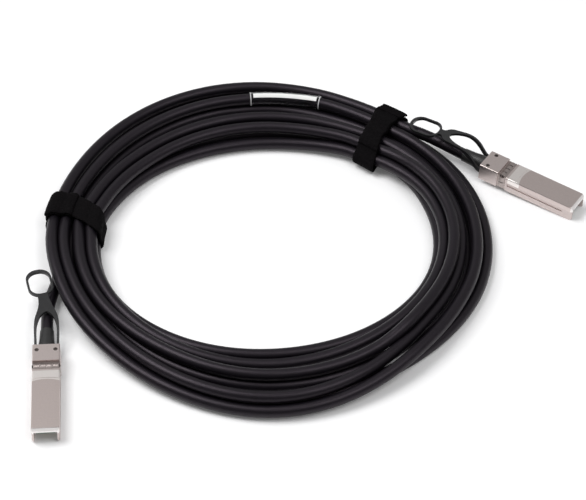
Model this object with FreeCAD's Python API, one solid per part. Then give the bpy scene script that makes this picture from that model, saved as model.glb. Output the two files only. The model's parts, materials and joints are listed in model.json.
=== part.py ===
"""Direct attach copper cable: two pluggable ends, a coiled lead, two straps and a cable label."""
import FreeCAD, Part
import math
import os
from FreeCAD import Placement, Rotation, Vector

os.makedirs("parts", exist_ok=True)

# ---- driving dimensions, mm and degrees -------------------------------------------------
CLEAR = 0.2              # running clearance of sliding parts
CORD_D = 6.2             # cable sheath diameter

BODY_W, BODY_H = 13.6, 8.6       # pluggable body, width and height
NOSE_X, NOSE_BEVEL = 54.7, 1.2   # flat top ends here, then the nose bevel
BACK_L, BACK_H = 10.9, 9.5       # taller backshell at the cable end
LID_T = 1.1                      # thickness of the backshell lid
STEP_X = 9.5                     # lid steps down inside the backshell here
PART_Z = 5.5                     # parting line of the two castings
EDGE_R = 0.6                     # rounding of the long top edges
GROOVE_L, GROOVE_D = 5.0, 0.5    # seat of the shielding spring
LAND_END, RECESS_END, RECESS_D = 22.5, 54.0, 0.2
SIDE_X0, SIDE_X1, SIDE_Z0, SIDE_D = 17.0, 50.0, 3.2, 0.5

CAV_W, FLOOR_Z, ROOF_Z = 11.2, 2.2, 7.6   # card cavity
DEEP_X, DEEP_Z = 37.0, 1.2                # deeper floor ahead of the latch channel
MOUTH_X, MOUTH_Z = 50.4, 6.4              # open mouth at the nose
LEDGE_W = 0.7

AXIS_Z = 4.6             # cable axis above the underside
WALL_X = 2.0             # rear wall thickness
FERRULE_X0, FERRULE_X1, FERRULE_T = 3.0, 9.0, 0.5
BOOT_L, BOOT_R, BOOT_TIP_R, BOOT_NECK_R = 13.0, 4.15, 3.5, 3.4

CARD_X0, CARD_X1, CARD_W, CARD_Z, CARD_T = 16.5, 54.2, 10.8, 4.1, 1.0
TONGUE_X, TONGUE_W = 44.0, 9.2
PAD_N, PAD_PITCH, PAD_W, PAD_L, PAD_T = 10, 0.8, 0.5, 3.0, 0.05
PAIR_W, PAIR_T, PAIR_END = 2.2, 1.1, 19.0

PLATE_Z, PLATE_T, PLATE_W = 0.75, 0.7, 9.0        # latch slider plate
PLATE_X0, PLATE_X1, FORK_X = 12.4, 29.0, 34.0
FORK_W = 3.8                                       # clear width between the fork tips
CHANNEL_X, CHANNEL_Z = 36.0, 1.6
RAIL_Y, RAIL_X = 3.9, 3.0                          # inner side and rear end of the rails
ARM_Y, ARM_T, ARM_X, ARM_Z = 5.1, 0.8, 8.0, 6.0
TONGUE_L, TONGUE_T = 3.0, 0.4                      # arm tongues moulded into the tab
LEG_Y0, LEG_Y1, LEG_X, LEG_Z = 4.7, 6.4, 8.9, 6.8  # side slots for arms and tab legs
TRAVEL = 2.2
SPRING_X0, SPRING_X1, SPRING_Z = 20.2, 27.4, 2.48
SPRING_R, SPRING_WIRE, SPRING_TURNS = 0.66, 0.32, 4
POCKET_R, POCKET_Z = 1.1, 3.45
LUG_T, LUG_Z = 0.6, 3.1
BOSS_X0, BOSS_X1, BOSS_Y, BOSS_H = 30.0, 33.0, 1.5, 0.7

SCREW_X, SCREW_Y, HEAD_D, HEAD_T, SHANK_D, SHANK_END = 3.6, 4.6, 2.2, 0.6, 1.4, 7.1

SHEET = 0.2                                        # shielding spring
EMI_GAP, EMI_BAND, EMI_BOW, EMI_SLOT = 0.3, 0.7, 0.55, 0.5

TAB_Z, TAB_LEG_T, TAB_T = 4.7, 2.6, 1.5            # pull tab leg height, leg and ring thickness
TAB_IN = 2.9                                       # leg length inside the backshell
RING_L, RING_W, RING_R, RING_BAND, GRIP_BAND = 17.5, 12.8, 5.8, 1.05, 1.6

COIL_X, COIL_Y, COIL_H = -22.82, 4.53, 12.5        # centre and height of the coil
COIL_IN, COIL_OVAL, COIL_SKEW = 80.6, 5.0, 1.2     # inner edge: mean radius, ovality, skew
COIL_OUT = [118.4, 118.8, 119.2, 118.9, 118.2, 120.4, 124.0, 125.2, 124.0, 121.3,
            118.2, 116.4, 113.7, 111.1, 111.3, 112.9, 115.0, 118.2, 120.9, 120.8,
            118.6, 116.6, 116.8, 118.0]            # outer edge every 15 degrees from +X
COIL_TOP_R, COIL_LOW_R = 4.6, 2.9                  # rounding of the bundle

STRAP_W, STRAP_T, STRAP_R, STRAP_SINK, STRAP_GAP = 15.5, 1.2, 5.0, 0.3, 8.0
# angle, inner and outer radius of the squeezed bundle, whether the tail laps over
STRAPS = {"strap_left": (171.0, 85.9, 114.0, False), "strap_right": (51.5, 81.7, 117.4, True)}
TAIL_FROM = 99.0                                   # where the overlapping strap tail starts

LABEL_R, LABEL_Z, LABEL_T = 110.8, 9.3, 0.55
LABEL_A0, LABEL_A1, LABEL_GAP = 75.0, 95.0, 0.4
STRIP_T, STRIP_A0, STRIP_A1, STRIP_INSET = 0.12, 35.0, 100.0, 1.0

PLUGS = {"a": (-130.26, -72.90, 0.70, -86.5, 0.0), "b": (92.93, 63.23, 2.86, -32.9, 3.0)}

# pull tab shapes: (distance behind the body, height of the middle, thickness)
TAB_RISE = {
    "a": [(-2.9, TAB_Z, TAB_LEG_T), (-1, TAB_Z, TAB_LEG_T), (1, 4.75, 2.6), (6, 5.6, 2.3),
          (12, 7.4, 1.8), (18, 8.6, TAB_T), (26, 8.95, TAB_T), (36, 9.2, TAB_T),
          (54, 10.2, TAB_T)],
    "b": [(-2.9, TAB_Z, TAB_LEG_T), (-1, TAB_Z, TAB_LEG_T), (1, 4.8, 2.6), (4, 7.0, 3.0),
          (8, 11.2, 2.8), (12, 13.1, 1.9), (18, 13.3, TAB_T), (26, 12.7, TAB_T),
          (36, 11.9, TAB_T), (50, 11.4, TAB_T)],
}
TAB_BEND = {"a": (-11.0, 43.0), "b": (-2.0, 37.3)}  # sideways bend, distance to ring centre

# lead runs between the plug and the coil
LEADS = {
    "a": [(-132.0, -43.9, 4.6), (-130.5, -31.5, 4.1), (-127.9, -19.5, 3.9)],
    "b": [(68.95, 79.5, 9.0), (61.2, 84.7, 9.0), (53.1, 88.9, 8.3)],
}
LEAD_RUN = 14.5                                    # first run behind the body

HALF = BODY_W / 2
CORD_R = CORD_D / 2
NOSE_END = NOSE_X + NOSE_BEVEL
GROOVE_X = BACK_L + GROOVE_L
LID_Z = BACK_H - LID_T
FERRULE_R = CORD_R + FERRULE_T


# ---- small shape helpers ------------------------------------------------------------------
def box(x0, x1, y0, y1, z0, z1):
    return Part.makeBox(x1 - x0, y1 - y0, z1 - z0, Vector(x0, y0, z0))


def both(x0, x1, y0, y1, z0, z1):
    """The same box on both sides of the middle plane."""
    return Part.Compound([box(x0, x1, y0, y1, z0, z1), box(x0, x1, -y1, -y0, z0, z1)])


def bar(x, radius, length, z=AXIS_Z, y=0.0):
    """Round bar along the cable axis."""
    return Part.makeCylinder(radius, length, Vector(x, y, z), Vector(1, 0, 0))


def prism(points, direction):
    wire = Part.makePolygon([Vector(*p) for p in points] + [Vector(*points[0])])
    return Part.Face(wire).extrude(Vector(*direction))


def fuse(shapes):
    return shapes[0].multiFuse(shapes[1:]).removeSplitter()


def cut(shape, tools):
    return shape.cut(tools).removeSplitter()


def rounded_bar(x0, x1, half, z0, z1, radius):
    """Bar along X with rounded upper edges."""
    shape = box(x0, x1, -half, half, z0, z1)
    edges = [e for e in shape.Edges
             if abs(e.BoundBox.ZMin - z1) < 1e-6 and e.BoundBox.XLength > 0.5 * (x1 - x0)]
    return shape.makeFillet(radius, edges)


def rounded_loop(y0, y1, z0, z1, radius):
    """Rounded rectangle wire in the XY plane."""
    k = radius * (1 - math.sqrt(0.5))
    arcs = []
    for cx, cy, sx, sy in ((y1, z0, -1, 1), (y1, z1, -1, -1), (y0, z1, 1, -1), (y0, z0, 1, 1)):
        on_y = Vector(cx, cy + sy * radius, 0)
        on_x = Vector(cx + sx * radius, cy, 0)
        mid = Vector(cx + sx * k, cy + sy * k, 0)
        first, last = (on_x, on_y) if sx * sy < 0 else (on_y, on_x)
        arcs.append(Part.Arc(first, mid, last).toShape())
    edges = []
    for arc, follow in zip(arcs, arcs[1:] + arcs[:1]):
        edges += [arc, Part.LineSegment(arc.lastVertex().Point, follow.firstVertex().Point).toShape()]
    return Part.Wire(edges)


# ---- pluggable end --------------------------------------------------------------------------
def envelope():
    """Outside of the pluggable body ahead of the shielding spring, with its nose bevels."""
    low = NOSE_BEVEL / 2
    side = prism([(GROOVE_X, -HALF, 0), (NOSE_X, -HALF, 0), (NOSE_END, -HALF, low),
                  (NOSE_END, -HALF, BODY_H - NOSE_BEVEL), (NOSE_X, -HALF, BODY_H),
                  (GROOVE_X, -HALF, BODY_H)], (0, BODY_W, 0))
    plan = prism([(GROOVE_X, -HALF, 0), (NOSE_X, -HALF, 0), (NOSE_END, -HALF + low, 0),
                  (NOSE_END, HALF - low, 0), (NOSE_X, HALF, 0), (GROOVE_X, HALF, 0)],
                 (0, 0, BODY_H))
    return rounded_bar(GROOVE_X, NOSE_END, HALF, 0, BODY_H, EDGE_R).common(side).common(plan)


def cavity():
    half = CAV_W / 2
    return fuse([box(STEP_X, MOUTH_X, -half, half, FLOOR_Z, ROOF_Z),
                 box(DEEP_X, MOUTH_X, -half, half, DEEP_Z, FLOOR_Z + 0.1),
                 box(MOUTH_X, NOSE_END + 1, -half, half, -1, MOUTH_Z)])


def cable_seat():
    """Slot for the ferrule and for the neck of the strain relief."""
    return fuse([bar(WALL_X, FERRULE_R, STEP_X - WALL_X),
                 box(WALL_X, STEP_X, -FERRULE_R, FERRULE_R, AXIS_Z, LID_Z),
                 bar(-1, BOOT_NECK_R, WALL_X + 2),
                 box(-1, WALL_X + 1, -BOOT_NECK_R, BOOT_NECK_R, AXIS_Z, LID_Z)])


def lower_housing():
    inner = HALF - GROOVE_D
    shape = fuse([box(0, STEP_X, -HALF, HALF, 0, LID_Z), box(STEP_X, BACK_L, -HALF, HALF, 0, PART_Z),
                  box(BACK_L, GROOVE_X, -inner, inner, GROOVE_D, PART_Z),
                  envelope().common(box(GROOVE_X, NOSE_END, -HALF, HALF, 0, PART_Z))])
    rails = both(-1, PLATE_X0, RAIL_Y - CLEAR, PLATE_W / 2 + 0.3, -1, CHANNEL_Z)
    legs = both(-1, LEG_X, LEG_Y0, LEG_Y1, -1, LEG_Z)
    channel = box(PLATE_X0 - TRAVEL - 0.3, CHANNEL_X, -PLATE_W / 2 - 0.3, PLATE_W / 2 + 0.3,
                  -1, CHANNEL_Z)
    sides = both(SIDE_X0, SIDE_X1, HALF - SIDE_D, HALF + 1, SIDE_Z0, PART_Z)
    shape = cut(shape, [cavity(), cable_seat(), rails, legs, channel, sides])
    half = CAV_W / 2
    rib = box(SPRING_X0 - 0.8, SPRING_X1 + 1.6, -POCKET_R - 0.7, POCKET_R + 0.7,
              CHANNEL_Z, POCKET_Z + 0.5)
    ledges = both(CARD_X0 + 1.5, DEEP_X + 5, half - LEDGE_W, half, FLOOR_Z - 0.6, CARD_Z)
    back = BOSS_X1 - BOSS_X0
    boss = prism([(BOSS_X0, -BOSS_Y, CHANNEL_Z), (BOSS_X0, -BOSS_Y, -BOSS_H),
                  (BOSS_X0 + back / 3, -BOSS_Y, -BOSS_H), (BOSS_X1, -BOSS_Y, 0),
                  (BOSS_X1, -BOSS_Y, CHANNEL_Z)], (0, 2 * BOSS_Y, 0))
    front_ledges = both(DEEP_X, DEEP_X + 5, half - LEDGE_W, half, DEEP_Z, CARD_Z)
    shape = fuse([shape, rib, boss] + ledges.Solids + front_ledges.Solids)
    pocket = box(SPRING_X0, SPRING_X1 + LUG_T + CLEAR, -POCKET_R, POCKET_R, CHANNEL_Z - 0.1, POCKET_Z)
    holes = [Part.makeCylinder(SHANK_D / 2, 3, Vector(SCREW_X, side * SCREW_Y, SHANK_END))
             for side in (-1, 1)]
    return cut(shape, [pocket] + holes)


def top_cover():
    inner, half = HALF - GROOVE_D, CAV_W / 2
    lid = rounded_bar(0, BACK_L, HALF, LID_Z, BACK_H, EDGE_R)
    shape = fuse([lid, box(STEP_X, BACK_L, -HALF, HALF, PART_Z, LID_Z),
                  box(BACK_L, GROOVE_X, -inner, inner, PART_Z, BODY_H - GROOVE_D),
                  envelope().common(box(GROOVE_X, NOSE_END, -HALF, HALF, PART_Z, BODY_H))])
    sag = 1.0                                       # bow of the land's front edge
    radius = (HALF ** 2 + sag ** 2) / (2 * sag)
    round_end = Part.makeCylinder(radius, 2, Vector(LAND_END - sag + radius, 0, BODY_H - RECESS_D))
    recess = fuse([round_end.common(box(LAND_END - sag, LAND_END + 1, -HALF, HALF, 0, 20)),
                   box(LAND_END, RECESS_END, -HALF, HALF, BODY_H - RECESS_D, BODY_H + 1)])
    shape = cut(shape, [cavity(), recess])
    clamp = box(0, WALL_X, -BOOT_NECK_R, BOOT_NECK_R, AXIS_Z + 1.6, LID_Z).cut(
        bar(-1, BOOT_NECK_R, WALL_X + 2))
    posts = [post for x in (24.0, 38.0)
             for post in both(x, x + 4, half - LEDGE_W, half - 0.1, CARD_Z + CARD_T, ROOF_Z).Solids]
    shape = fuse([shape, clamp] + posts)
    holes = []
    for side in (-1, 1):
        holes += [Part.makeCylinder(SHANK_D / 2, 4, Vector(SCREW_X, side * SCREW_Y, LID_Z - 1)),
                  Part.makeCylinder(HEAD_D / 2, 1, Vector(SCREW_X, side * SCREW_Y, BACK_H - HEAD_T))]
    return cut(shape, holes)


def cover_screws():
    screws = []
    for side in (-1, 1):
        x, y = SCREW_X, side * SCREW_Y
        screw = fuse([Part.makeCylinder(HEAD_D / 2, HEAD_T, Vector(x, y, BACK_H - HEAD_T)),
                      Part.makeCylinder(SHANK_D / 2, BACK_H - HEAD_T - SHANK_END,
                                        Vector(x, y, SHANK_END))])
        drive = [box(x - 0.65, x + 0.65, y - 0.16, y + 0.16, BACK_H - 0.35, BACK_H + 1),
                 box(x - 0.16, x + 0.16, y - 0.65, y + 0.65, BACK_H - 0.35, BACK_H + 1)]
        screws.append(screw.cut(drive))
    return Part.Compound(screws)


def emi_spring():
    """Shielding collar: two bands joined by rows of outward bowed fingers."""
    x0, x1 = BACK_L + EMI_GAP, GROOVE_X - 0.5
    y, z0, z1 = HALF - GROOVE_D, GROOVE_D, BODY_H - GROOVE_D
    bands = []
    for start in (x0, x1 - EMI_BAND):
        outer = box(start, start + EMI_BAND, -y - SHEET, y + SHEET, z0 - SHEET, z1 + SHEET)
        bands.append(outer.cut(box(start - 1, start + 2, -y, y, z0, z1)))

    def finger(centre, width, normal, base):
        """One bowed finger; `normal` points out of the body, `base` is its seat."""
        a, b, m = x0 + EMI_BAND - 0.1, x1 - EMI_BAND + 0.1, (x0 + x1) / 2
        def arc(lift, bow):
            return Part.Arc(Vector(a, 0, lift), Vector(m, 0, lift + bow), Vector(b, 0, lift)).toShape()
        inner, outer = arc(0, EMI_BOW), arc(SHEET, EMI_BOW)
        wire = Part.Wire([inner, Part.LineSegment(Vector(b, 0, 0), Vector(b, 0, SHEET)).toShape(),
                          outer, Part.LineSegment(Vector(a, 0, SHEET), Vector(a, 0, 0)).toShape()])
        strip = Part.Face(wire).extrude(Vector(0, width, 0))
        strip.translate(Vector(0, -width / 2, 0))
        turn = {"up": 0, "left": -90, "down": 180, "right": 90}[normal]
        strip.rotate(Vector(0, 0, 0), Vector(1, 0, 0), turn)
        offset = {"up": (0, centre, base), "down": (0, centre, base),
                  "left": (0, base, centre), "right": (0, -base, centre)}[normal]
        strip.translate(Vector(*offset))
        return strip

    fingers = []
    for normal, span, count, base in (("up", 2 * y, 4, z1), ("down", 2 * y, 4, z0),
                                      ("left", z1 - z0, 2, y), ("right", z1 - z0, 2, y)):
        pitch = (span - 0.3) / count
        middle = 0.0 if normal in ("up", "down") else (z0 + z1) / 2
        for i in range(count):
            centre = middle + (i - (count - 1) / 2) * pitch
            fingers.append(finger(centre, pitch - EMI_SLOT, normal, base))
    return fuse(bands + fingers)


def strain_relief():
    """Moulded boot with a neck through the rear wall and a flange behind it."""
    points = [(-BOOT_L, CORD_R), (-BOOT_L, BOOT_TIP_R), (-BOOT_L + 6, BOOT_TIP_R + 0.25),
              (-3, BOOT_R), (0, BOOT_R), (0, BOOT_NECK_R), (WALL_X, BOOT_NECK_R),
              (WALL_X, FERRULE_R), (FERRULE_X0, FERRULE_R), (FERRULE_X0, CORD_R)]
    wire = Part.makePolygon([Vector(x, 0, r) for x, r in points + points[:1]])
    shape = Part.Face(wire).revolve(Vector(0, 0, 0), Vector(1, 0, 0), 360)
    shape.translate(Vector(0, 0, AXIS_Z))
    return shape


def ferrule():
    length = FERRULE_X1 - FERRULE_X0
    crimp = bar(FERRULE_X0, FERRULE_R, length).cut(bar(FERRULE_X0 - 1, CORD_R, length + 2))
    waist = bar(FERRULE_X0 + 1.5, FERRULE_R + 1, 3).cut(bar(FERRULE_X0 + 1.5, FERRULE_R - 0.2, 3))
    return crimp.cut(waist)


def paddle_card():
    return fuse([box(CARD_X0, TONGUE_X, -CARD_W / 2, CARD_W / 2, CARD_Z, CARD_Z + CARD_T),
                 box(TONGUE_X, CARD_X1, -TONGUE_W / 2, TONGUE_W / 2, CARD_Z, CARD_Z + CARD_T)])


def card_contacts():
    pads = []
    x1 = CARD_X1 - 0.8
    for z in (CARD_Z + CARD_T, CARD_Z - PAD_T):
        for i in range(PAD_N):
            y = (i - (PAD_N - 1) / 2) * PAD_PITCH
            pads.append(box(x1 - PAD_L, x1, y - PAD_W / 2, y + PAD_W / 2, z, z + PAD_T))
    return Part.Compound(pads)


def wire_pairs():
    pairs = []
    for z in (CARD_Z + CARD_T, CARD_Z - PAIR_T):
        loop = rounded_loop(-PAIR_W / 2, PAIR_W / 2, 0, PAIR_T, PAIR_T * 0.45)
        loop.rotate(Vector(0, 0, 0), Vector(1, 1, 1), 120)      # XY outline to the YZ plane
        loop.translate(Vector(STEP_X, 0, z))
        pairs.append(Part.Face(loop).extrude(Vector(PAIR_END - STEP_X, 0, 0)))
    return Part.Compound(pairs)


def latch_slider():
    half, wide = PLATE_W / 2, ARM_Y + ARM_T
    plan = [(PLATE_X0, 0), (PLATE_X0, RAIL_Y), (RAIL_X, RAIL_Y), (RAIL_X, wide), (ARM_X, wide),
            (ARM_X, half), (FORK_X, half), (FORK_X, half - 1.4), (PLATE_X1 + 2, FORK_W / 2),
            (PLATE_X1, FORK_W / 2), (PLATE_X1, 0)]
    parts = []
    for side in (-1, 1):
        parts.append(prism([(x, side * y, PLATE_Z) for x, y in plan], (0, 0, PLATE_T)))
    parts += both(RAIL_X, ARM_X, ARM_Y, wide, PLATE_Z, ARM_Z).Solids
    mid = ARM_Y + ARM_T / 2
    parts += both(-TONGUE_L, RAIL_X, mid - TONGUE_T / 2, mid + TONGUE_T / 2,
                  TAB_Z - 0.7, TAB_Z + 0.7).Solids
    parts.append(box(SPRING_X1, SPRING_X1 + LUG_T, -0.8, 0.8, PLATE_Z, LUG_Z))
    return fuse(parts)


def slider_spring():
    """Return spring of square wire: half turns that lean to one side and the other in turn."""
    w = SPRING_WIRE / 2
    pitch = (SPRING_X1 - SPRING_X0 - SPRING_WIRE) / SPRING_TURNS
    turns = []
    for i in range(2 * SPRING_TURNS):
        side = 1 if i % 2 == 0 else -1
        a = Vector(SPRING_X0 + w + i * pitch / 2, 0, SPRING_Z + side * SPRING_R)
        b = Vector(SPRING_X0 + w + (i + 1) * pitch / 2, 0, SPRING_Z - side * SPRING_R)
        corners = [a + Vector(dx, 0, dz) for dx, dz in ((-w, -w), (w, -w), (w, w), (-w, w))]
        section = Part.Face(Part.makePolygon(corners + corners[:1]))
        axis = (b - a).cross(Vector(0, 1, 0))
        turns.append(section.revolve((a + b) * 0.5, axis, 180))
    return turns[0].multiFuse(turns[1:])


def spline(points):
    curve = Part.BSplineCurve()
    curve.interpolate([Vector(*p) for p in points])
    return curve.toShape()


def line(a, b):
    return Part.LineSegment(Vector(*a), Vector(*b)).toShape()


def pull_tab(end):
    """Moulded tab: two legs beside the boot, a neck over the cable and a finger ring."""
    bend, ring_s = TAB_BEND[end]
    slope = math.tan(math.radians(bend))

    def place(s, t):
        """Plan point from distance behind the body and offset, following the sideways bend."""
        drift = 0.0 if s < 20 else (slope * (s - 20) ** 2 / 16 if s < 28 else slope * (s - 24))
        return (-s, t + drift, 0)

    far = ring_s - RING_L / 2 + RING_BAND
    edge = [(-TAB_IN, 6.1), (0, 6.1), (8, 6.2), (15, 6.2), (20, 5.5), (25, 4.0),
            (far - 3.5, 2.75), (far, 2.6)]
    window = [(-TAB_IN, 4.95), (0, 4.95), (8, 5.0), (14, 4.85), (18.5, 3.7), (21.6, 1.9), (22.8, 0)]
    left = [place(s, t) for s, t in edge]
    right = [place(s, -t) for s, t in edge]
    inside = [(-s, t, 0) for s, t in window]
    inside += [(-s, -t, 0) for s, t in window[-2::-1]]
    wire = Part.Wire([spline(left), line(left[-1], right[-1]), spline(right[::-1]),
                      line(right[0], inside[-1]), spline(inside[::-1]), line(inside[0], left[0])])
    depth = Vector(0, 0, 40)
    plan = Part.Face(wire).extrude(depth)

    outer = Part.Face(rounded_loop(-RING_L / 2, RING_L / 2, -RING_W / 2, RING_W / 2, RING_R))
    hole = Part.Face(rounded_loop(-RING_L / 2 + GRIP_BAND, RING_L / 2 - RING_BAND,
                                  -RING_W / 2 + RING_BAND, RING_W / 2 - RING_BAND,
                                  RING_R - RING_BAND))
    spot = Placement(Vector(*place(ring_s, 0)), Rotation(Vector(0, 0, 1), -bend))
    ring = outer.extrude(depth)
    gap = hole.extrude(depth)
    ring.Placement = spot
    gap.Placement = spot
    plan = plan.fuse(ring).cut(gap)

    rise = TAB_RISE[end]
    top = [(-s, -20, z + t / 2) for s, z, t in rise]
    low = [(-s, -20, z - t / 2) for s, z, t in rise]
    side = Part.Wire([spline(top), line(top[-1], low[-1]), spline(low[::-1]), line(low[0], top[0])])
    band = Part.Face(side).extrude(Vector(0, 40, 0))
    shape = plan.common(band)
    return shape.cut(latch_slider()).Solids[0]


# ---- cable ------------------------------------------------------------------------------------
def tube(points, radius):
    """Round tube along straight runs joined by tangent arcs; returns shape and centre length."""
    pts = [Vector(*p) for p in points]
    edges, cursor, radii = [], pts[0], []
    for before, corner, after in zip(pts, pts[1:], pts[2:]):
        u, v = (corner - before).normalize(), (after - corner).normalize()
        half_turn = u.getAngle(v) / 2
        reach = 0.45 * min((corner - before).Length, (after - corner).Length)
        radii.append(reach / math.tan(half_turn))
        a, b = corner - u * reach, corner + v * reach
        inward = (v - u).normalize()
        mid = corner + inward * (radii[-1] / math.cos(half_turn) - radii[-1])
        edges += [line(cursor, a), Part.Arc(a, mid, b).toShape()]
        cursor = b
    edges.append(line(cursor, pts[-1]))
    path = Part.Wire(edges)
    profile = Part.Wire(Part.makeCircle(radius, pts[0], pts[1] - pts[0]))
    return path.makePipeShell([profile], True, False), path.Length, radii


def around(angle, radius, z=0.0):
    a = math.radians(angle)
    return Vector(COIL_X + radius * math.cos(a), COIL_Y + radius * math.sin(a), z)


def coil_ring():
    """The bundle of turns as one closed ring with a rounded section."""
    def outline(radii):
        curve = Part.BSplineCurve()
        curve.interpolate([around(360.0 * i / len(radii), r) for i, r in enumerate(radii)],
                          PeriodicFlag=True)
        return Part.Face(Part.Wire([arc.toShape() for arc in curve.toBiArcs(0.4)]))
    inner = [COIL_IN + COIL_OVAL * math.cos(2 * a) + COIL_SKEW * math.sin(2 * a)
             for a in (2 * math.pi * i / 16 for i in range(16))]
    up = Vector(0, 0, COIL_H)
    ring = outline(COIL_OUT).extrude(up).cut(outline(inner).extrude(up))
    for height, radius in ((COIL_H, COIL_TOP_R), (0.0, COIL_LOW_R)):
        edges = [e for e in ring.Edges if abs(e.BoundBox.ZMin - height) < 1e-4
                 and abs(e.BoundBox.ZMax - height) < 1e-4]
        ring = ring.makeFillet(radius, edges)
    return ring


def strap_block(name, low, grow, width=STRAP_W):
    """Solid block through the coil at a strap; `grow` offsets its section outward."""
    angle, r0, r1, _ = STRAPS[name]
    loop = rounded_loop(r0 - grow, r1 + grow, low, COIL_H - STRAP_SINK + grow, STRAP_R + grow)
    loop.rotate(Vector(0, 0, 0), Vector(1, 0, 0), 90)
    block = Part.Face(loop).extrude(Vector(0, width, 0))
    block.translate(Vector(0, -width / 2, 0))
    block.rotate(Vector(0, 0, 0), Vector(0, 0, 1), angle)
    block.translate(Vector(COIL_X, COIL_Y, 0))
    return block


def strap(name):
    """Hook-and-loop strap round the bundle; one strap keeps its overlapping tail."""
    angle, r0, r1, tail = STRAPS[name]
    band = strap_block(name, 0.0, STRAP_T).cut(strap_block(name, STRAP_T, 0.0))
    if not tail:
        return band
    lap = strap_block(name, -STRAP_T, 2 * STRAP_T, STRAP_W - 1).cut(
        strap_block(name, 0.0, STRAP_T, STRAP_W + 1))
    keep = box(TAIL_FROM, r1 + 10, -STRAP_W, STRAP_W, COIL_H / 2, COIL_H * 2)
    keep.rotate(Vector(0, 0, 0), Vector(0, 0, 1), angle)
    keep.translate(Vector(COIL_X, COIL_Y, 0))
    return fuse([band, lap.common(keep)])


def strand_arc(r0, r1, a0, a1, s0=0.0, s1=360.0):
    """Part of a ring round the labelled strand: radii r0..r1, coil angles a0..a1."""
    def arc(r):
        pts = [Vector(LABEL_R + r * math.cos(math.radians(s)), 0, LABEL_Z + r * math.sin(math.radians(s)))
               for s in (s0, (s0 + s1) / 2, s1)]
        return pts, Part.Arc(*pts).toShape()
    if s1 - s0 >= 360:
        face = Part.Face(Part.Wire(Part.makeCircle(r1, Vector(LABEL_R, 0, LABEL_Z), Vector(0, 1, 0))))
        if r0 > 0:
            face = face.cut(Part.Face(Part.Wire(Part.makeCircle(
                r0, Vector(LABEL_R, 0, LABEL_Z), Vector(0, 1, 0)))))
    else:
        (pi, inner), (po, outer) = arc(r0), arc(r1)
        face = Part.Face(Part.Wire([inner, line(pi[2], po[2]), outer, line(po[0], pi[0])]))
    face.rotate(Vector(0, 0, 0), Vector(0, 0, 1), a0)
    shape = face.revolve(Vector(0, 0, 0), Vector(0, 0, 1), a1 - a0)
    shape.translate(Vector(COIL_X, COIL_Y, 0))
    return shape.Solids[0]


def cable_coil(resting_lead):
    """The coil, necked down inside the straps and round the label, with a bed for the lead on it."""
    coil = coil_ring()
    for name in STRAPS:
        coil = coil.cut(strap_block(name, -STRAP_GAP, STRAP_GAP))
    coil = coil.cut(resting_lead)
    coil = coil.multiFuse([strap_block(n, STRAP_T, 0.0) for n in STRAPS])
    coil = coil.cut(strand_arc(0, CORD_R + LABEL_T + 2 * STRIP_T, LABEL_A0 - LABEL_GAP,
                               LABEL_A1 + LABEL_GAP))
    return coil.fuse(strand_arc(0, CORD_R, LABEL_A0 - 1, LABEL_A1 + 1))


# ---- assembly -----------------------------------------------------------------------------------
def lead_points(end):
    x, y, z, yaw, pitch = PLUGS[end]
    spot = placement(end)
    near = [spot.multVec(Vector(-s, 0, AXIS_Z)) for s in (0.0, LEAD_RUN)]
    return [tuple(p) for p in near] + LEADS[end]


def placement(end):
    x, y, z, yaw, pitch = PLUGS[end]
    turn = Rotation(Vector(0, 0, 1), yaw).multiply(Rotation(Vector(0, 1, 0), pitch))
    return Placement(Vector(x, y, z), turn)


def main():
    nodes = {}
    shared = {"lower_housing": lower_housing(), "top_cover": top_cover(), "emi_spring": emi_spring(),
              "latch_slider": latch_slider(), "slider_spring": slider_spring(),
              "paddle_card": paddle_card(), "card_contacts": card_contacts(),
              "wire_pairs": wire_pairs(), "cable_ferrule": ferrule(),
              "cover_screws": cover_screws(), "strain_relief": strain_relief(),
              "sheath_end": bar(0, CORD_R, STEP_X)}
    for end in PLUGS:
        local = dict(shared, pull_tab=pull_tab(end))
        for name, shape in local.items():
            placed = shape.copy()
            placed.Placement = placement(end).multiply(placed.Placement)
            nodes["%s_%s" % (name, end)] = placed
        axis = placement(end).Rotation.multVec(Vector(-1, 0, 0))
        print("latch slide %s axis %.5f %.5f %.5f" % (end, axis.x, axis.y, axis.z))
    leads, tubes = {}, {}
    for end in LEADS:
        leads[end], length, radii = tube(lead_points(end), CORD_R)
        print("lead %s: tube radius %.2f, volume %.1f, section x length %.1f, least bend %.0f"
              % (end, CORD_R, leads[end].Volume, math.pi * CORD_R ** 2 * length, min(radii)))
    bed, _, _ = tube(lead_points("b"), CORD_R + CLEAR)
    nodes["cable_coil"] = cable_coil(bed)
    for end in LEADS:
        nodes["cable_lead_%s" % end] = leads[end].cut(nodes["cable_coil"])
    for name in STRAPS:
        nodes[name] = strap(name)
    nodes["label_sleeve"] = strand_arc(CORD_R, CORD_R + LABEL_T, LABEL_A0, LABEL_A1)
    inset = math.degrees(STRIP_INSET / LABEL_R)
    nodes["label_strip"] = strand_arc(CORD_R + LABEL_T, CORD_R + LABEL_T + STRIP_T,
                                      LABEL_A0 + inset, LABEL_A1 - inset, STRIP_A0, STRIP_A1)
    total = FreeCAD.BoundBox()
    for name, shape in nodes.items():
        shape.exportStep("parts/%s.step" % name)
        box_ = shape.BoundBox
        total.add(box_)
        print("%-18s %s valid %s solids %d volume %.1f  %.1f..%.1f %.1f..%.1f %.2f..%.2f" % (
            name, shape.ShapeType, shape.isValid(), len(shape.Solids), shape.Volume, box_.XMin,
            box_.XMax, box_.YMin, box_.YMax, box_.ZMin, box_.ZMax))
    print("whole", total)


main()
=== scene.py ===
"""Look of the direct attach copper cable: the coiled cable, its finishes, floor, lights and camera."""
import json
import math
import random

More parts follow.
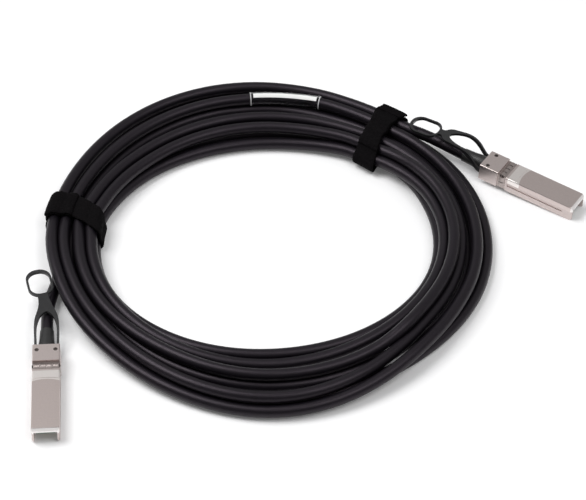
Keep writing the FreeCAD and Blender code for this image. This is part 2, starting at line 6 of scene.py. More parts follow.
import bmesh
import bpy
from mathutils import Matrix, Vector


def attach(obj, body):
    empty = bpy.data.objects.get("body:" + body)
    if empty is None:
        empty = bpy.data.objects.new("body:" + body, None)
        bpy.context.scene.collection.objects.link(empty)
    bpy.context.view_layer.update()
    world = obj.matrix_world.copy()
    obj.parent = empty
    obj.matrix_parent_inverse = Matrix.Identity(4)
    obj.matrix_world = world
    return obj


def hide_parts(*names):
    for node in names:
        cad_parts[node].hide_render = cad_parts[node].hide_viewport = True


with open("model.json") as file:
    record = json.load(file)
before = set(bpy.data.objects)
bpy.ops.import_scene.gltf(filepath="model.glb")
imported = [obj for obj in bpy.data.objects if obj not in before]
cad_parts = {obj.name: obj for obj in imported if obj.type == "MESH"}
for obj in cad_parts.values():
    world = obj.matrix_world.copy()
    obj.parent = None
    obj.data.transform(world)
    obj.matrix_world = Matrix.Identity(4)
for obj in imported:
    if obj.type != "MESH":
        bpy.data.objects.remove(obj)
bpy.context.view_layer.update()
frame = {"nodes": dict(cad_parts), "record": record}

MM = 0.001
TINY = 1e-6                         # keeps a division clear of zero

# ---- cable: sizes in millimetres, angles in degrees ------------------------------------------
CORD_D = 6.2
COIL_X, COIL_Y = -22.82, 4.53       # centre of the coil
COLUMNS = 48                        # stations in each turn
TURN_STEP = 360 / COLUMNS
START_ANGLE = 187.5                 # the first turn starts here and runs clockwise
END_COLUMN = 354                    # the last column, under the right strap

# free runs at the two ends, from the body to the coil and from the coil to the body
LEAD_A = [(-130.26, -72.90, 5.3), (-131.15, -58.43, 5.3), (-132.0, -43.9, 4.6),
          (-130.5, -31.5, 4.1), (-127.9, -19.5, 3.9)]
LEAD_B = [(53.4, 89.4, 9.4), (61.2, 84.7, 9.7), (68.95, 79.5, 9.4), (80.97, 70.97, 8.21),
          (93.13, 63.10, 7.45)]

# middle of the innermost turn: mean radius, ovality and skew
INNER_R, INNER_OVAL, INNER_SKEW = 83.7, 5.0, 1.2
# middle of the outermost turn, every 15 degrees from +X
OUTER = [115.3, 115.7, 116.1, 115.8, 115.1, 117.3, 120.9, 122.1, 120.9, 118.2, 115.1, 113.4,
         112.9, 110.5, 109.7, 109.8, 111.9, 115.1, 117.8, 117.7, 115.5, 113.5, 113.7, 114.9]
OUTER_STEP = 360 / len(OUTER)

# place of each turn across the bundle (0 inner edge, 1 outer edge) and its height,
# where the turns pass the left, far, right and near sides
LEFT = [(0.93, 3.1), (0.475, 3.1), (0.22, 3.1), (-0.045, 3.1), (0.02, 9.0), (0.27, 9.0),
        (0.64, 9.3), (0.90, 9.3)]
FAR = [(0.94, 3.1), (0.68, 3.1), (0.25, 3.1), (-0.012, 3.1), (0.175, 9.0), (0.425, 9.0),
       (0.76, 9.3), (1.0, 8.3)]
RIGHT = [(1.01, 3.1), (0.575, 3.1), (0.004, 3.1), (0.12, 8.5), (0.286, 12.7), (0.459, 8.5),
         (0.688, 9.5)]
NEAR = [(0.808, 3.1), (0.617, 3.1), (-0.003, 3.1), (0.165, 3.1), (0.38, 3.1), (0.877, 8.4),
        (0.969, 3.1)]
LEFT_ANGLE = 180                    # the first side that a turn passes
# column, place across and height where the coil begins and ends
FIRST_MARK, LAST_MARK = (-1, 0.80, 3.5), (END_COLUMN, 0.96, 9.3)

# angle of each strap, and the room for the middles of the turns inside it
STRAPS = [(171.0, 88.8, 111.1), (51.5, 84.6, 114.5)]
STRAP_TOP = 9.3                     # highest middle inside a strap
STRAP_NEAR, STRAP_WIDE = 5.0, 10.0  # angles over which a strap squeezes and gathers
STRAP_SLACK = 0.8                   # more room where it only gathers
STRAP_LIFT, STRAP_REACH = 1.25, 9.0     # how far a strap lifts the turns, and over what angle
# radius and height of the free ends where they pass a column of the coil
PASSING = {47: (109.95, 3.95), 46: (118.4, 4.5), 19: (115.3, 9.6)}

LABEL_TURN, LABEL_ANGLE, LABEL_REACH = 6, 85.0, 14.0
LABEL_R, LABEL_Z = 110.8, 9.3       # the labelled turn's control points
LABEL_CLEAR = 0.65                  # room for the sleeve beside the other turns

TURN_GAP = CORD_D + 0.04            # least distance between the middles of two turns
LOOK_RISE = 1.054                   # cotangent of the usual angle of view above the floor
SHOW_GAP = 5.7                      # turns this far apart across the view show no floor
ROUNDS = 240                        # rounds that settle the turns
GAP_ROUNDS = ROUNDS - 12            # of which these draw turns together
SMOOTH_ROUNDS = ROUNDS - 30         # and these smooth them along the cable
SMOOTH_KEEP = 0.985                 # share of a turn's shift that smoothing keeps


def smooth(t):
    return t * t * (3 - 2 * t)


def angle_from(angle, middle):
    """Signed angle from `middle`, within half a turn."""
    return (angle - middle + 180) % 360 - 180


def coil_point(radius, angle, height):
    """Point in millimetres at a radius and an angle in degrees about the coil's centre."""
    a = math.radians(angle)
    return COIL_X + radius * math.cos(a), COIL_Y + radius * math.sin(a), height


def column_angle(column):
    return START_ANGLE - TURN_STEP * column


def inner_radius(angle):
    a = math.radians(angle)
    return INNER_R + INNER_OVAL * math.cos(2 * a) + INNER_SKEW * math.sin(2 * a)


def outer_radius(angle):
    """Smooth closed curve through the OUTER list."""
    x = (angle % 360) / OUTER_STEP
    i, t = int(x), x - int(x)
    p0, p1, p2, p3 = (OUTER[(i + k) % len(OUTER)] for k in (-1, 0, 1, 2))
    return p1 + 0.5 * t * (p2 - p0 + t * (2 * p0 - 5 * p1 + 4 * p2 - p3
                                          + t * (3 * (p1 - p2) + p3 - p0)))


def stations():
    """(column, place across, height) of every pass of the four sides, in order along the cable."""
    quarter = COLUMNS // 4
    first = round((START_ANGLE - LEFT_ANGLE) / TURN_STEP)
    found = []
    for turn in range(len(LEFT)):
        for side, slots in enumerate((LEFT, FAR, RIGHT, NEAR)):
            if turn < len(slots):
                found.append((first + COLUMNS * turn + quarter * side,) + slots[turn])
    return found


def planned_turns():
    """Radius and height wanted at every column."""
    marks = [FIRST_MARK] + stations() + [LAST_MARK]
    plan = []
    for column in range(END_COLUMN + 1):
        k = max(i for i, mark in enumerate(marks) if mark[0] <= column)
        c0, u0, z0 = marks[k]
        c1, u1, z1 = marks[min(k + 1, len(marks) - 1)]
        t = smooth((column - c0) / max(c1 - c0, 1))
        u, z = u0 + (u1 - u0) * t, z0 + (z1 - z0) * t
        low, high = inner_radius(column_angle(column)), outer_radius(column_angle(column))
        plan.append([low + u * (high - low), z])
    return plan


def floor_height(angle):
    """Lowest middle of a turn: on the floor, or a little higher where a strap passes under it."""
    lift = 0.0
    for middle, _, _ in STRAPS:
        lift += STRAP_LIFT * math.exp(-(angle_from(angle, middle) / STRAP_REACH) ** 2)
    return CORD_D / 2 + lift


def squeeze(angle, spot):
    """Keep the middle of a turn within the strap it passes."""
    for middle, low, high in STRAPS:
        off = abs(angle_from(angle, middle))
        if off < STRAP_WIDE:
            slack = 0.0 if off < STRAP_NEAR else STRAP_SLACK
            spot[0] = min(max(spot[0], low - slack), high + slack)
            spot[1] = min(spot[1], STRAP_TOP + slack)


def close_gaps(angle, spots):
    """Draw turns together where the floor would show between them from the usual side."""
    slope = math.sin(math.radians(angle)) * LOOK_RISE
    size = math.hypot(1.0, slope)
    across, up = 1.0 / size, slope / size
    order = sorted(spots, key=lambda p: p[0] * across + p[1] * up)
    for a, b in zip(order, order[1:]):
        gap = (b[0] - a[0]) * across + (b[1] - a[1]) * up
        if gap > SHOW_GAP:
            move = 0.5 * (gap - SHOW_GAP)
            a[0] += move
            b[0] -= move


def push_off(spot, lead):
    """Move a turn clear of a free end that stays where it is."""
    dr, dz = spot[0] - lead[0], spot[1] - lead[1]
    far = math.hypot(dr, dz) or TINY
    if far < TURN_GAP:
        spot[0] += dr * (TURN_GAP - far) / far
        spot[1] += dz * (TURN_GAP - far) / far


def push_apart(a, b, need):
    """Move two turns equally until their middles are `need` apart."""
    dr, dz = b[0] - a[0], b[1] - a[1]
    far = math.hypot(dr, dz) or TINY
    if far < need:
        push = 0.5 * (need - far) / far
        a[0] -= dr * push
        a[1] -= dz * push
        b[0] += dr * push
        b[1] += dz * push


def smooth_along(spots, plan):
    """Even out the turns' shifts from the plan along the cable."""
    off = [(s[0] - p[0], s[1] - p[1]) for s, p in zip(spots, plan)]
    for i in range(1, len(spots) - 1):
        for k in (0, 1):
            mean = (off[i - 1][k] + off[i + 1][k]) / 2
            spots[i][k] = plan[i][k] + SMOOTH_KEEP * (0.5 * off[i][k] + 0.5 * mean)


def settled_turns():
    """Turns pushed apart until none lies in another, and kept smooth along the cable."""
    plan = planned_turns()
    spots = [list(p) for p in plan]
    count = len(spots)
    angles = [column_angle(i) for i in range(count)]
    floors = [floor_height(a) for a in angles]
    labelled = {i for i, a in enumerate(angles)
                if (i + 1) // COLUMNS == LABEL_TURN and abs(angle_from(a, LABEL_ANGLE)) < LABEL_REACH}
    for n in range(ROUNDS):
        for column in range(COLUMNS):
            ids = range(column, count, COLUMNS)
            if column in PASSING:
                for a in ids:
                    push_off(spots[a], PASSING[column])
            for k, a in enumerate(ids):
                for b in ids[k + 1:]:
                    need = TURN_GAP + (LABEL_CLEAR if a in labelled or b in labelled else 0.0)
                    push_apart(spots[a], spots[b], need)
        if n < GAP_ROUNDS:
            for column in range(COLUMNS):
                close_gaps(column_angle(column), spots[column:count:COLUMNS])
        for i in range(count):
            spots[i][1] = max(spots[i][1], floors[i])
            squeeze(angles[i], spots[i])
        if n < SMOOTH_ROUNDS:
            smooth_along(spots, plan)
        for i in labelled:
            spots[i] = [LABEL_R, LABEL_Z]
        spots[-1] = list(plan[-1])
    return spots


TURNS = settled_turns()


def cable_route():
    """Control points of the whole cable, in millimetres."""
    coil = [coil_point(radius, column_angle(i), height) for i, (radius, height) in enumerate(TURNS)]
    return LEAD_A + coil + LEAD_B


def spline_object(name, points, radius):
    curve = bpy.data.curves.new(name, "CURVE")
    curve.dimensions = "3D"
    line = curve.splines.new("NURBS")
    line.points.add(len(points) - 1)
    for point, spot in zip(line.points, points):
        point.co = [c * MM for c in spot] + [1.0]
    line.order_u = 3
    line.use_endpoint_u = True
    line.resolution_u = 3
    curve.bevel_depth = radius * MM
    curve.bevel_resolution = 10
    obj = bpy.data.objects.new(name, curve)
    bpy.context.collection.objects.link(obj)
    return obj


def mesh_object(name, verts, faces, weld=False):
    """Smooth mesh object from points in millimetres; `weld` joins points that coincide."""
    mesh = bpy.data.meshes.new(name)
    mesh.from_pydata([[c * MM for c in vert] for vert in verts], [], faces)
    if weld:
        clean = bmesh.new()
        clean.from_mesh(mesh)
        bmesh.ops.remove_doubles(clean, verts=clean.verts, dist=TINY)
        clean.to_mesh(mesh)
        clean.free()
    mesh.polygons.foreach_set("use_smooth", [True] * len(mesh.polygons))
    mesh.update()
    obj = bpy.data.objects.new(name, mesh)
    bpy.context.collection.objects.link(obj)
    return obj


def dress(obj, slot):
    """Material of a slot, on a piece of the root body."""
    paint(obj, slot)
    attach(obj, "root")


# ---- straps: hook-and-loop tape drawn round the bundle, in millimetres -------------------------
TAPE_T = 1.1                        # thickness
TAPE_SLACK = 0.2                    # between the tape and the sheath
TAPE_STEP = 0.5                     # size of a mesh cell
TAPE_ROWS = 31                      # points across the tape
TAPE_RAYS = 720                     # directions in which the taut outline is found
TAPE_SPREAD = (-6, -3, 0, 3, 6)     # angles beside the tape's middle where the turns hold it out
TAPE_SINK = 0.9                     # most that it sinks between two turns
TAPE_LOW, TAPE_INNER_LOW = 0.02, 0.35   # lowest heights of its outer and inner faces
EDGE_WAVE, EDGE_FRAY = 0.30, 0.14   # slow and quick waves of the tape's edges
FACE_WAVE, FACE_PILE = 0.12, 0.07   # slow and quick waves of its outer face
EDGE_THIN, EDGE_SHARP = 0.45, 14    # how much thinner the edges are, and how suddenly
WAVES, WAVE_COUNTS = 7, (2, 14)     # slow waves that add up, and how often each repeats
FULL_PHASE, OPEN_SPAN = 6.28, 4.1   # radians: a wave's phases, and the span of an open tape
# (radius, angle of the tape's middle, half width) from the inner edge of the bundle outward
TAPE_LEFT = [(84, 176.0, 7.0), (88, 173.5, 8.0), (93, 171.2, 7.8), (102, 168.5, 7.9),
             (117, 169.4, 8.2)]
TAPE_RIGHT = [(80, 50.2, 6.8), (87, 51.5, 6.1), (96, 53.7, 5.6), (105, 54.6, 6.1),
              (113, 55.2, 7.0), (117, 53.9, 7.9)]
LAP_FACING = 0.35                   # the overlapping layer lies where the loop faces up this much
LAP_END, LAP_GAIN, LAP_EASE = 0.55, 0.45, 3.0   # its height at its end, and how it rises from there
TAIL_RISE, TAIL_DROOP = 0.25, 0.004     # slope of the free end, and how it bends down


def along(table, x, item):
    """Value of a table's column at x, between its rows."""
    for a, b in zip(table, table[1:]):
        if x <= b[0] or b is table[-1]:
            t = min(max((x - a[0]) / (b[0] - a[0]), 0.0), 1.0)
            return a[item] + t * (b[item] - a[item])


def turns_at(angle):
    """(radius, height) of every turn where it passes an angle."""
    found = []
    for i in range(len(TURNS) - 1):
        t = ((column_angle(i) - angle) % 360) / TURN_STEP
        if t < 1:
            found.append([TURNS[i][k] + t * (TURNS[i + 1][k] - TURNS[i][k]) for k in (0, 1)])
    return found


def even_points(line, step):
    """Points a step apart along a closed line."""
    lengths = [math.dist(a, b) for a, b in zip(line, line[1:] + line[:1])]
    whole = sum(lengths)
    count = int(whole / step)
    even, run, j = [], 0.0, 0
    for i in range(count):
        want = whole * i / count
        while run + lengths[j] < want:
            run += lengths[j]
            j += 1
        t = (want - run) / max(lengths[j], 1e-9)
        a, b = line[j], line[(j + 1) % len(line)]
        even.append([a[0] + t * (b[0] - a[0]), a[1] + t * (b[1] - a[1])])
    return even


def tape_loop(table):
    """Closed loop (radius, height, outward normal) drawn taut round the bundle."""
    middle = table[len(table) // 2][1]
    turns = [turn for off in TAPE_SPREAD for turn in turns_at(middle + off)]
    reach = CORD_D / 2 + TAPE_SLACK
    line = []
    for i in range(TAPE_RAYS):
        a = math.radians(i * 360 / TAPE_RAYS - 90)
        n = (math.cos(a), math.sin(a))
        far = max(turns, key=lambda p: p[0] * n[0] + p[1] * n[1])
        line.append((far[0] + reach * n[0], far[1] + reach * n[1]))
    even = even_points(line, TAPE_STEP)
    loop = []
    for i, (r, z) in enumerate(even):
        a, b = even[i - 3], even[(i + 3) % len(even)]
        n = Vector((b[1] - a[1], a[0] - b[0])).normalized()
        sink = min(0.5 * (min(math.dist((r, z), t) for t in turns) - reach), TAPE_SINK)
        loop.append((r - sink * n[0], z - sink * n[1], n[0], n[1]))
    return loop


def wander(seed, count, size, closed):
    """Slow random waves along the tape, of about the given size."""
    rng = random.Random(seed)
    waves = [(rng.uniform(0, FULL_PHASE), rng.randint(*WAVE_COUNTS)) for _ in range(WAVES)]
    turn = (2 * math.pi if closed else OPEN_SPAN) / count
    return [size * sum(math.sin(w * i * turn + p) / w ** 0.5 for p, w in waves) / 2
            for i in range(count)]


def tape_faces(count, closed):
    """Faces of one layer of tape with `count` stations."""
    rows, ring = TAPE_ROWS, 2 * TAPE_ROWS
    faces = []
    for i in range(count if closed else count - 1):
        a, b = i * ring, (i + 1) % count * ring
        for k in range(rows - 1):
            faces.append((a + k, a + k + 1, b + k + 1, b + k))
            faces.append((a + rows + k, b + rows + k, b + rows + k + 1, a + rows + k + 1))
        faces.append((a, b, b + rows, a + rows))
        faces.append((a + rows - 1, a + ring - 1, b + ring - 1, b + rows - 1))
    if not closed:
        for a, flip in ((0, 1), ((count - 1) * ring, -1)):
            for k in range(rows - 1):
                faces.append((a + k, a + rows + k, a + rows + k + 1, a + k + 1)[::flip])
    return faces


def tape_mesh(table, loop, lift, seed, closed):
    """Vertices and faces of one layer of tape along a loop; `lift` is its height off the turns."""
    rng = random.Random(seed)
    count = len(loop)
    edge_a = wander(seed, count, EDGE_WAVE, closed)
    edge_b = wander(seed + 1, count, EDGE_WAVE, closed)
    swell = wander(seed + 2, count, FACE_WAVE, closed)
    verts = []
    for i, (r, z, nr, nz) in enumerate(loop):
        angle, half = along(table, r, 1), along(table, r, 2)
        shift_a = edge_a[i] + rng.uniform(-EDGE_FRAY, EDGE_FRAY)
        shift_b = edge_b[i] + rng.uniform(-EDGE_FRAY, EDGE_FRAY)
        for outer in (False, True):
            for k in range(TAPE_ROWS):
                u = 2 * k / (TAPE_ROWS - 1) - 1
                s = u * half + shift_a * max(u, 0) ** 3 + shift_b * min(u, 0) ** 3
                high = lift[i]
                if outer:
                    thick = TAPE_T * (1 - EDGE_THIN * abs(u) ** EDGE_SHARP)
                    high += thick + swell[i] + rng.uniform(-FACE_PILE, FACE_PILE)
                height = max(z + high * nz, TAPE_LOW if outer else TAPE_INNER_LOW)
                verts.append(coil_point(r + high * nr, angle + math.degrees(s / r), height))
    return verts, tape_faces(count, closed)


def lap_part(loop, from_radius, to_radius):
    """Stretch of the loop over the top of the bundle, between two radii."""
    top = [p for p in loop if p[3] > LAP_FACING and from_radius <= p[0] <= to_radius]
    return sorted(top, key=lambda p: -p[0])


def make_strap(name, table, lap, free_end, seed):
    """One strap: the closed loop, its overlapping layer over the radii `lap`, and a free end of
    the given length, if any."""
    loop = tape_loop(table)
    parts = [tape_mesh(table, loop, [0.0] * len(loop), seed, True)]
    over = lap_part(loop, *lap)
    if free_end:
        r, z, _, _ = over[0]
        n = Vector((-TAIL_RISE, 1.0)).normalized()
        ahead = [(r + TAPE_STEP * k * n[1], z + TAIL_RISE * TAPE_STEP * k - TAIL_DROOP * k * k,
                  n[0], n[1]) for k in range(int(free_end / TAPE_STEP), 0, -1)]
        over = ahead + over
    ease = [min(1.0, (len(over) - 1 - i) / LAP_EASE) for i in range(len(over))]
    lift = [TAPE_T * (LAP_END + LAP_GAIN * e) for e in ease]
    parts.append(tape_mesh(table, over, lift, seed + 7, False))
    verts, faces = [], []
    for part_verts, part_faces in parts:
        faces += [tuple(i + len(verts) for i in face) for face in part_faces]
        verts += part_verts
    obj = mesh_object(name + "_tape", verts, faces)
    dress(obj, "strap_fabric")
    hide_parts(name)


# ---- label: a white strip in a clear sleeve round one turn, in millimetres ----------------------
LABEL_A0, LABEL_A1 = 75.0, 95.0         # coil angles of the sleeve's ends
LABEL_SHIFT = 0.2                       # the drawn cable runs this far inside its control points
SLEEVE_R = 3.66
# the rings at the sleeve's ends are pale: a painted highlight of its edges
SLEEVE_END, SLEEVE_END_T = 0.3, 0.06    # coil angle and thickness of the rings at the sleeve's ends
STRIP_INSET, STRIP_T = 0.9, 0.10        # coil angle that the strip leaves free, and its thickness
STRIP_FROM, STRIP_TO = 88.0, 130.0      # place of the strip round the turn, 0 outward and 90 up


def label_arc(name, slot, thick, coil_angles, turn_angles, across=24, cells=60):
    """Curved sheet on the labelled turn, between two coil angles and two angles round the turn."""
    a0, a1 = coil_angles
    s0, s1 = turn_angles
    whole = s1 - s0 >= 360
    verts, faces = [], []
    for i in range(cells + 1):
        for r in (SLEEVE_R, SLEEVE_R + thick):
            for k in range(across + 1):
                s = math.radians(s0 + (s1 - s0) * k / across)
                out = LABEL_R - LABEL_SHIFT + r * math.cos(s)
                verts.append(coil_point(out, a0 + (a1 - a0) * i / cells, LABEL_Z + r * math.sin(s)))
    row = across + 1
    for i in range(cells):
        a, b = 2 * row * i, 2 * row * (i + 1)
        for k in range(across):
            faces.append((a + k, b + k, b + k + 1, a + k + 1))
            faces.append((a + row + k, a + row + k + 1, b + row + k + 1, b + row + k))
        if not whole:
            faces.append((a, a + row, b + row, b))
            faces.append((a + across, b + across, b + row + across, a + row + across))
    for a, flip in ((0, 1), (2 * row * cells, -1)):
        for k in range(across):
            faces.append((a + k, a + k + 1, a + row + k + 1, a + row + k)[::flip])
    obj = mesh_object(name, verts, faces, weld=whole)
    dress(obj, slot)
    return obj


def make_label():
    """White strip, and a pale ring at each end of the sleeve: a painted highlight where the sleeve's
    edge catches the light.
    """
    strip = label_arc("label_paper", "white_label", STRIP_T,
                      (LABEL_A0 + STRIP_INSET, LABEL_A1 - STRIP_INSET), (STRIP_FROM, STRIP_TO))
    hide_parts("label_strip")
    for name, a in (("sleeve_end_right", LABEL_A0), ("sleeve_end_left", LABEL_A1 - SLEEVE_END)):
        label_arc(name, "clear_sleeve", SLEEVE_END_T, (a, a + SLEEVE_END), (0, 360),
                  across=48, cells=3)


# ---- materials: shader nodes ------------------------------------------------------------------
# sockets A, B and result of a mix node, for colours and for numbers
MIX_COLOUR, MIX_NUMBER = (6, 7, 2), (2, 3, 0)


def node(owner, kind, **values):
    """New node of a material or world; values name its sockets or its settings."""
    made = owner.node_tree.nodes.new(kind)
    for key, value in values.items():
        if key in made.inputs:
            feed(owner, value, made.inputs[key])
        else:
            setattr(made, key, value)
    return made


def feed(owner, value, socket):
    """Give a socket a number, a colour or vector, or another node's output."""
    if isinstance(value, bpy.types.NodeSocket):
        owner.node_tree.links.new(value, socket)
    elif socket.type == "RGBA":
        socket.default_value = (*value, 1)
    else:
        socket.default_value = value


def place(owner):
    """Position on the object, in metres."""
    return node(owner, "ShaderNodeTexCoord").outputs["Object"]


def noise(owner, scale, detail):
    grain = node(owner, "ShaderNodeTexNoise", Vector=place(owner), Scale=scale, Detail=detail)
    return grain.outputs[0]


def calculate(owner, operation, *terms):
    made = node(owner, "ShaderNodeMath", operation=operation)
    for term, socket in zip(terms, made.inputs):
        feed(owner, term, socket)
    return made.outputs[0]


def stretch(owner, value, low, high, to_low=0.0, to_high=1.0, **settings):
    """Map low..high to to_low..to_high."""
    limits = {"From Min": low, "From Max": high, "To Min": to_low, "To Max": to_high}
    return node(owner, "ShaderNodeMapRange", Value=value, **limits, **settings).outputs[0]


def blend(owner, amount, low, high):
    """Mix of two colours or two numbers."""
    colour = isinstance(high, tuple) or getattr(high, "type", "") == "RGBA"
    a, b, out = MIX_COLOUR if colour else MIX_NUMBER
    mix = node(owner, "ShaderNodeMix", data_type="RGBA" if colour else "FLOAT")
    for value, socket in ((amount, 0), (low, a), (high, b)):
        feed(owner, value, mix.inputs[socket])
    return mix.outputs[out]


def roughen(mat, shader, grain, bump, height):
    relief = node(mat, "ShaderNodeBump", Strength=bump, Distance=height, Height=grain)
    feed(mat, relief.outputs["Normal"], shader.inputs["Normal"])


def material(name, colour, rough, metal=0.0):
    """Principled material with one colour and roughness, which later nodes vary."""
    mat = bpy.data.materials.new(name)
    mat.use_nodes = True
    shader = mat.node_tree.nodes["Principled BSDF"]
    feed(mat, colour, shader.inputs["Base Color"])
    feed(mat, rough, shader.inputs["Roughness"])
    feed(mat, metal, shader.inputs["Metallic"])
    return mat, shader


def vary(mat, shader, grain, colour_a, colour_b, rough_a, rough_b, bump=0.0, height=0.0001):
    """Colour, roughness and bump that follow one noise."""
    feed(mat, blend(mat, grain, colour_a, colour_b), shader.inputs["Base Color"])
    feed(mat, blend(mat, grain, rough_a, rough_b), shader.inputs["Roughness"])
    if bump:
        roughen(mat, shader, grain, bump, height)


# ---- materials: finishes ----------------------------------------------------------------------
METAL_BUMP = (0.12, 0.00005)            # strength and height in metres
NOSE_END = 55.9                         # millimetres from a plug's rear to its mount
# where the top of a plug changes, in millimetres from its rear: start and curved end of the land with
# its painted reflection, and start of the nose bevel with its painted highlight
LAND_START, LAND_END, TOP_END = 17.0, 22.5, 54.8
LAND_SAG = 30.0                         # bend of the land's front edge, per metre
STEP_SOFT = 0.4                         # millimetres over which one finish turns into the next


def sheath_material():
    mat, shader = material("sheath", (0.006, 0.0056, 0.0065), 0.4)
    feed(mat, 0.35, shader.inputs["Specular IOR Level"])
    feed(mat, (1.0, 0.87, 1.0), shader.inputs["Specular Tint"])
    vary(mat, shader, noise(mat, 420, 4), (0.0016, 0.0012, 0.0022), (0.0042, 0.0034, 0.0054),
         0.37, 0.49, 0.25, 0.00008)
    return mat


def metal_material(name, light, dark, rough_a, rough_b):
    mat, shader = material(name, light, rough_a, 1.0)
    vary(mat, shader, noise(mat, 900, 5), light, dark, rough_a, rough_b, *METAL_BUMP)
    return mat


def step_at(mat, value, edge):
    """0 before an edge in millimetres and 1 beyond it."""
    return stretch(mat, value, edge * MM - STEP_SOFT * MM / 2, edge * MM + STEP_SOFT * MM / 2)


def cover_material(end):
    """Nickel cover: a painted reflection lightens the land, the recess with a curved rear edge is
    duller, and a painted highlight lightens the nose bevel.
    """
    mat, shader = material("cover_" + end, (0.72, 0.63, 0.605), 0.36, 1.0)
    mount = next(m for m in frame["record"]["mounts"] if m["name"] == "plug_" + end)
    ahead, nose = Vector(mount["axis"]), Vector(mount["pos_m"])
    aside = Vector((-ahead.y, ahead.x, 0)).normalized()
    where = place(mat)

    def distance(axis, start):
        dot = node(mat, "ShaderNodeVectorMath", operation="DOT_PRODUCT")
        feed(mat, where, dot.inputs[0])
        feed(mat, tuple(axis), dot.inputs[1])
        return calculate(mat, "SUBTRACT", dot.outputs["Value"], start)

    forward = distance(ahead, nose.dot(ahead) - NOSE_END * MM)
    sideways = distance(aside, nose.dot(aside))
    curved = calculate(mat, "MULTIPLY_ADD", calculate(mat, "MULTIPLY", sideways, sideways),
                       -LAND_SAG, forward)
    land, recess = step_at(mat, forward, LAND_START), step_at(mat, curved, LAND_END)
    bevel = step_at(mat, forward, TOP_END)

    grain = noise(mat, 1100, 5)
    plain = blend(mat, grain, (0.74, 0.65, 0.625), (0.64, 0.56, 0.54))
    # painted reflection: the land is coloured lighter than the nickel itself
    land_reflection = blend(mat, grain, (1.0, 0.95, 0.92), (0.93, 0.87, 0.84))
    dull = blend(mat, grain, (0.72, 0.625, 0.60), (0.63, 0.545, 0.52))
    tone = blend(mat, recess, blend(mat, land, plain, land_reflection), dull)
    # painted highlight: the nose bevel is coloured near white
    tone = blend(mat, bevel, tone, (0.98, 0.95, 0.94))
    rough = blend(mat, bevel, blend(mat, grain, 0.30, 0.40), 0.62)
    feed(mat, tone, shader.inputs["Base Color"])
    feed(mat, rough, shader.inputs["Roughness"])
    roughen(mat, shader, grain, *METAL_BUMP)
    return mat


def plastic_material(name, dark, light, rough_a, rough_b, scale=600, bump=0.15):
    mat, shader = material(name, dark, rough_a)
    vary(mat, shader, noise(mat, scale, 4), dark, light, rough_a, rough_b, bump, 0.00006)
    return mat


def strap_material():
    """Black loop tape: fine pile with paler patches at random."""
    mat, shader = material("strap", (0.003, 0.003, 0.003), 0.95)
    vary(mat, shader, noise(mat, 900, 8), (0.0002, 0.0002, 0.0002), (0.0080, 0.0068, 0.0078),
         0.85, 1.0, 1.0, 0.0005)
    feed(mat, 0.06, shader.inputs["Specular IOR Level"])
    return mat


def sleeve_material():
    mat, shader = material("sleeve", (0.9, 0.92, 0.92), 0.12)
    vary(mat, shader, noise(mat, 300, 2), (0.88, 0.90, 0.90), (0.95, 0.96, 0.96), 0.10, 0.18, 0.1)
    feed(mat, 1.0, shader.inputs["Transmission Weight"])
    feed(mat, 1.25, shader.inputs["IOR"])
    return mat


# two colours, two roughnesses and, for some, the noise's scale and bump
METALS = {
    "die_cast": ((0.66, 0.575, 0.555), (0.56, 0.49, 0.47), 0.30, 0.42),
    # spring_sheet is coloured darker than its steel: painted shade in the slots between the spring's
    # fingers
    "spring_sheet": ((0.50, 0.44, 0.42), (0.36, 0.31, 0.295), 0.30, 0.42),
    "stamped_steel": ((0.76, 0.68, 0.66), (0.64, 0.575, 0.56), 0.28, 0.4),
    "gold": ((0.95, 0.72, 0.32), (0.85, 0.62, 0.26), 0.18, 0.3),
}
PLASTICS = {
    "tab_plastic": ((0.010, 0.010, 0.011), (0.020, 0.020, 0.021), 0.30, 0.42),
    "board": ((0.02, 0.10, 0.045), (0.03, 0.14, 0.06), 0.25, 0.35),
    "wire_insulation": ((0.6, 0.6, 0.58), (0.75, 0.75, 0.72), 0.3, 0.5),
    "boot_rubber": ((0.012, 0.012, 0.012), (0.022, 0.022, 0.022), 0.42, 0.55),
    "white_label": ((0.86, 0.86, 0.85), (0.93, 0.93, 0.92), 0.3, 0.4, 200, 0.05),
}
# finish of every slot
FINISHES = {name: metal_material(name, *values) for name, values in METALS.items()}
FINISHES |= {name: plastic_material(name, *values) for name, values in PLASTICS.items()}
FINISHES |= {"cable_sheath": sheath_material(), "strap_fabric": strap_material(),
             "clear_sleeve": sleeve_material()}

# finish of the pieces that differ from their slot
SCREW_STEEL = metal_material("screw_steel", (0.20, 0.17, 0.16), (0.10, 0.085, 0.08), 0.30, 0.45)
# pale grey to white rings at the sleeve's ends: painted highlight of the clear sleeve's edges
SLEEVE_END_HIGHLIGHT = plastic_material("sleeve_end_highlight", (0.42, 0.42, 0.43), (0.75, 0.75, 0.76), 0.25, 0.4, 900)
OWN_FINISH = {
    "top_cover_a": cover_material("a"), "top_cover_b": cover_material("b"),
    "cover_screws_a": SCREW_STEEL, "cover_screws_b": SCREW_STEEL,
    "sleeve_end_right": SLEEVE_END_HIGHLIGHT, "sleeve_end_left": SLEEVE_END_HIGHLIGHT,
}


def paint(obj, slot):
    obj.data.materials.clear()
    obj.data.materials.append(OWN_FINISH.get(obj.name, FINISHES[slot]))


def finish_cad_nodes():
    for part in frame["record"]["subparts"]:
        paint(frame["nodes"][part["node"]], part["material_slot"])


def make_cable():
    cable = spline_object("cable", cable_route(), CORD_D / 2)
    dress(cable, "cable_sheath")
    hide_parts("cable_coil", "cable_lead_a", "cable_lead_b")


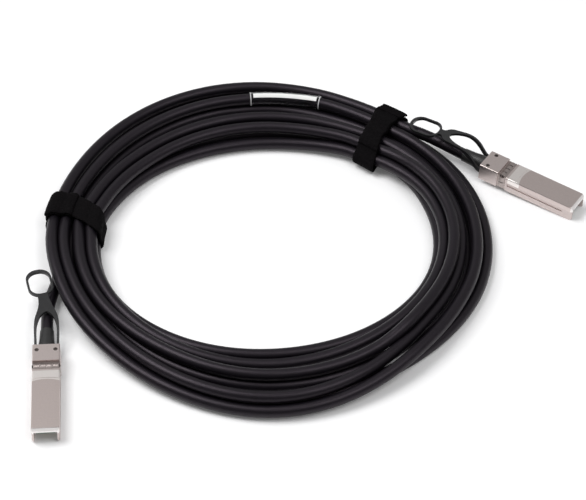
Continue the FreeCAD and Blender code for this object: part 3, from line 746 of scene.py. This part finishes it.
# ---- floor, lights and camera: sizes in metres, angles in degrees --------------------------------
FLOOR_SIZE, FLOOR_DROP = 6, 0.0001
GLOW_NEAR, GLOW_FAR = (0.30, 0.08), (1.20, 0.90)    # distance and strength of the floor's glow
SKY_LEAN = 0.35                                     # share of X in the sky's shading, beside Y
SKY_DIM, SKY_BRIGHT = (-0.8, 0.16), (0.7, 0.44)     # shading value and strength of the sky
CAMERA_AIM, CAMERA_RISE, CAMERA_DISTANCE = (-0.00902, 0.00493, 0.0), 43.5, 1.291
CAMERA_SENSOR, CAMERA_LENS = 36, 153.6              # millimetres


def make_floor():
    """Floor that fades to white: its glow is seen by the camera, in reflections and through
    clear parts, and lights nothing else."""
    bpy.ops.mesh.primitive_plane_add(size=FLOOR_SIZE, location=(0, 0, -FLOOR_DROP))
    floor = bpy.context.object
    floor.name = "floor"
    mat, shader = material("floor", (0.9, 0.9, 0.9), 0.9)
    vary(mat, shader, noise(mat, 3, 2), (0.94, 0.94, 0.945), (0.96, 0.96, 0.965), 0.85, 0.95)
    ray = node(mat, "ShaderNodeLightPath").outputs
    seen = calculate(mat, "ADD", ray["Is Camera Ray"], ray["Is Glossy Ray"])
    seen = calculate(mat, "ADD", seen, ray["Is Transmission Ray"])
    far = node(mat, "ShaderNodeVectorMath", operation="LENGTH")
    feed(mat, place(mat), far.inputs[0])
    glow = stretch(mat, far.outputs["Value"], GLOW_NEAR[0], GLOW_FAR[0], GLOW_NEAR[1], GLOW_FAR[1],
                   interpolation_type="SMOOTHSTEP")
    feed(mat, calculate(mat, "MULTIPLY", seen, glow), shader.inputs["Emission Strength"])
    feed(mat, (1, 1, 1), shader.inputs["Emission Color"])
    floor.data.materials.append(mat)


def area_light(name, spot, size, power):
    """Square lamp that faces the origin."""
    data = bpy.data.lights.new(name, "AREA")
    data.size = size
    data.energy = power
    lamp = bpy.data.objects.new(name, data)
    bpy.context.collection.objects.link(lamp)
    lamp.location = spot
    lamp.rotation_euler = (-Vector(spot)).to_track_quat("-Z", "Y").to_euler()


def make_world():
    """Soft light from all round, stronger from the back and right, and white to the camera."""
    world = bpy.data.worlds.new("surroundings")
    bpy.context.scene.world = world
    world.use_nodes = True
    nodes = world.node_tree.nodes
    direction = node(world, "ShaderNodeTexCoord").outputs["Generated"]
    split = node(world, "ShaderNodeSeparateXYZ", Vector=direction).outputs
    lean = calculate(world, "MULTIPLY_ADD", split["X"], SKY_LEAN, split["Y"])
    strength = stretch(world, lean, SKY_DIM[0], SKY_BRIGHT[0], SKY_DIM[1], SKY_BRIGHT[1])
    sky = nodes["Background"]
    feed(world, (1, 1, 1), sky.inputs["Color"])
    feed(world, strength, sky.inputs["Strength"])
    white = node(world, "ShaderNodeBackground", Color=(1, 1, 1), Strength=1.0)
    camera_ray = node(world, "ShaderNodeLightPath").outputs["Is Camera Ray"]
    mix = node(world, "ShaderNodeMixShader")
    for value, socket in zip((camera_ray, sky.outputs[0], white.outputs[0]), mix.inputs):
        feed(world, value, socket)
    feed(world, mix.outputs[0], nodes["World Output"].inputs["Surface"])


def make_camera():
    elevation = math.radians(CAMERA_RISE)
    data = bpy.data.cameras.new("camera")
    data.sensor_width = CAMERA_SENSOR
    data.lens = CAMERA_LENS
    camera = bpy.data.objects.new("camera", data)
    bpy.context.collection.objects.link(camera)
    back = Vector((0, -math.cos(elevation), math.sin(elevation)))
    camera.location = Vector(CAMERA_AIM) + CAMERA_DISTANCE * back
    camera.rotation_euler = (math.pi / 2 - elevation, 0, 0)
    bpy.context.scene.camera = camera


finish_cad_nodes()
make_cable()
make_strap("strap_left", TAPE_LEFT, (101.0, 130.0), 0.0, 11)
make_strap("strap_right", TAPE_RIGHT, (86.0, 113.0), 5.0, 23)
make_label()
make_floor()
make_world()
area_light("key", (-0.9, 0.15, 1.5), 1.0, 21)
area_light("fill", (0.7, -0.5, 1.6), 0.9, 9)
make_camera()
bpy.context.scene.view_settings.view_transform = "Standard"
